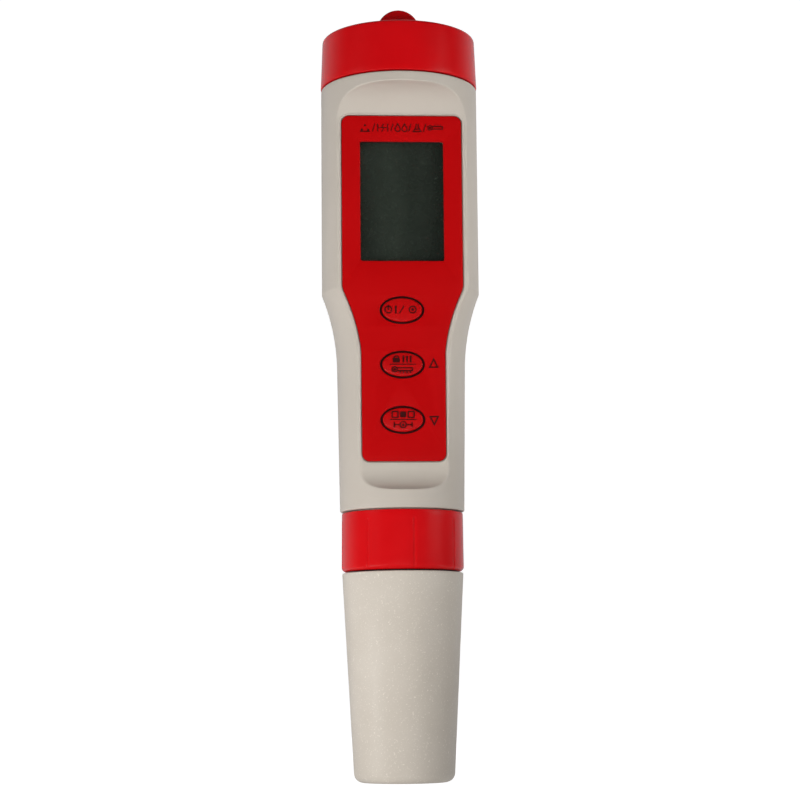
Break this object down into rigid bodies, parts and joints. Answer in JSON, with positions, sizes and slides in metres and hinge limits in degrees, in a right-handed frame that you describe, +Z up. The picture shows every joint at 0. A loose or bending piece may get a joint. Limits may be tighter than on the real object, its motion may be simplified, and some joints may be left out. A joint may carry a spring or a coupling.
{
  "type": "ph test pen",
  "caption": "Handheld water test pen with a round stepped barrel, flat front display panel, oval keys, screw battery cap, grip collar and a pull-off probe cap.",
  "frame": {"origin": "middle of the protective cap's flat bottom, where the pen stands", "axes": "+Z up along the pen to the battery cap, -Y out of the display panel, +X to the right of the display seen from the front"},
  "size_m": [0.0384, 0.0384, 0.1878],
  "materials": {
    "barrel_plastic": "satin moulded, warm light grey",
    "sleeve_plastic": "fine spark-eroded grain",
    "red_gloss": "smooth red",
    "panel_red": "smooth satin red",
    "key_red": "soft satin red",
    "clear_window": "clear polished",
    "display": "polished dark",
    "dark_plastic": "matt black",
    "white_plastic": "matt",
    "board": "lacquered",
    "steel": "bright",
    "gold_contact": "plated",
    "rubber": "matt",
    "bulb_glass": "clear",
    "sponge": "open foam"
  },
  "bodies": {
    "root": {"body_shell": "barrel_plastic", "front_panel": "panel_red", "window_lens": "clear_window", "lcd_bezel": "dark_plastic", "lcd_module": "display", "lcd_zebra_strip": "rubber", "circuit_board": "board", "controller_chip": "dark_plastic", "board_carrier": "white_plastic", "battery_holder": "white_plastic", "probe_socket": "dark_plastic", "probe_ribbon": "white_plastic", "switch_body_1": "dark_plastic", "switch_body_2": "dark_plastic", "switch_body_3": "dark_plastic", "board_screw_1": "steel", "battery_cell_1": "steel", "board_screw_2": "steel", "battery_cell_2": "steel", "board_screw_3": "steel", "battery_cell_3": "steel", "board_screw_4": "steel", "battery_cell_4": "steel", "battery_contact_1": "gold_contact", "battery_lead_1": "steel", "battery_contact_2": "gold_contact", "battery_lead_2": "steel"},
    "cap_lift": {"battery_cap_gasket": "rubber", "cap_contact_plate": "gold_contact"},
    "battery_cap": {"battery_cap": "red_gloss"},
    "button_1": {"button_key_1": "key_red", "switch_plunger_1": "white_plastic"},
    "button_2": {"button_key_2": "key_red", "switch_plunger_2": "white_plastic"},
    "button_3": {"button_key_3": "key_red", "switch_plunger_3": "white_plastic"},
    "probe": {"probe_housing": "dark_plastic", "sensor_seat": "dark_plastic", "probe_guard": "dark_plastic", "glass_bulb": "bulb_glass", "reference_wire": "steel", "reference_junction": "white_plastic", "ec_pin_1": "steel", "ec_pin_2": "steel", "temperature_sensor": "steel", "cap_seal_ring": "rubber", "neck_seal_ring": "rubber", "probe_plug": "gold_contact"},
    "collar_ring": {"collar_ring": "red_gloss"},
    "protective_cap": {"protective_cap": "sleeve_plastic", "storage_sponge": "sponge"}
  },
  "joints": [
    {"name": "cap_lift_slide", "type": "slide", "parent": "root", "child": "cap_lift", "axis": [0, 0, 1], "range_m": [0, 0.012]},
    {"name": "battery_cap_turn", "type": "hinge", "parent": "cap_lift", "child": "battery_cap", "pos_m": [0, 0, 0.174], "axis": [0, 0, 1], "range_deg": [0, 1440]},
    {"name": "probe_slide", "type": "slide", "parent": "root", "child": "probe", "axis": [0, 0, -1], "range_m": [0, 0.0075]},
    {"name": "collar_turn", "type": "hinge", "parent": "probe", "child": "collar_ring", "pos_m": [0, 0, 0.0565], "axis": [0, 0, -1], "range_deg": [0, 1080]},
    {"name": "protective_cap_pull", "type": "slide", "parent": "probe", "child": "protective_cap", "axis": [0, 0, -1], "range_m": [0, 0.055]},
    {"name": "button_1_press", "type": "slide", "parent": "root", "child": "button_1", "axis": [0, 1, 0], "range_m": [0, 0.0005], "stiffness_N_per_m": 800},
    {"name": "button_2_press", "type": "slide", "parent": "root", "child": "button_2", "axis": [0, 1, 0], "range_m": [0, 0.0005], "stiffness_N_per_m": 800},
    {"name": "button_3_press", "type": "slide", "parent": "root", "child": "button_3", "axis": [0, 1, 0], "range_m": [0, 0.0005], "stiffness_N_per_m": 800}
  ],
  "couplings": [
    {"joint": "battery_cap_turn", "follows": "cap_lift_slide", "rad_per_m": 2094.4},
    {"joint": "collar_turn", "follows": "probe_slide", "rad_per_m": 2513.3}
  ]
}
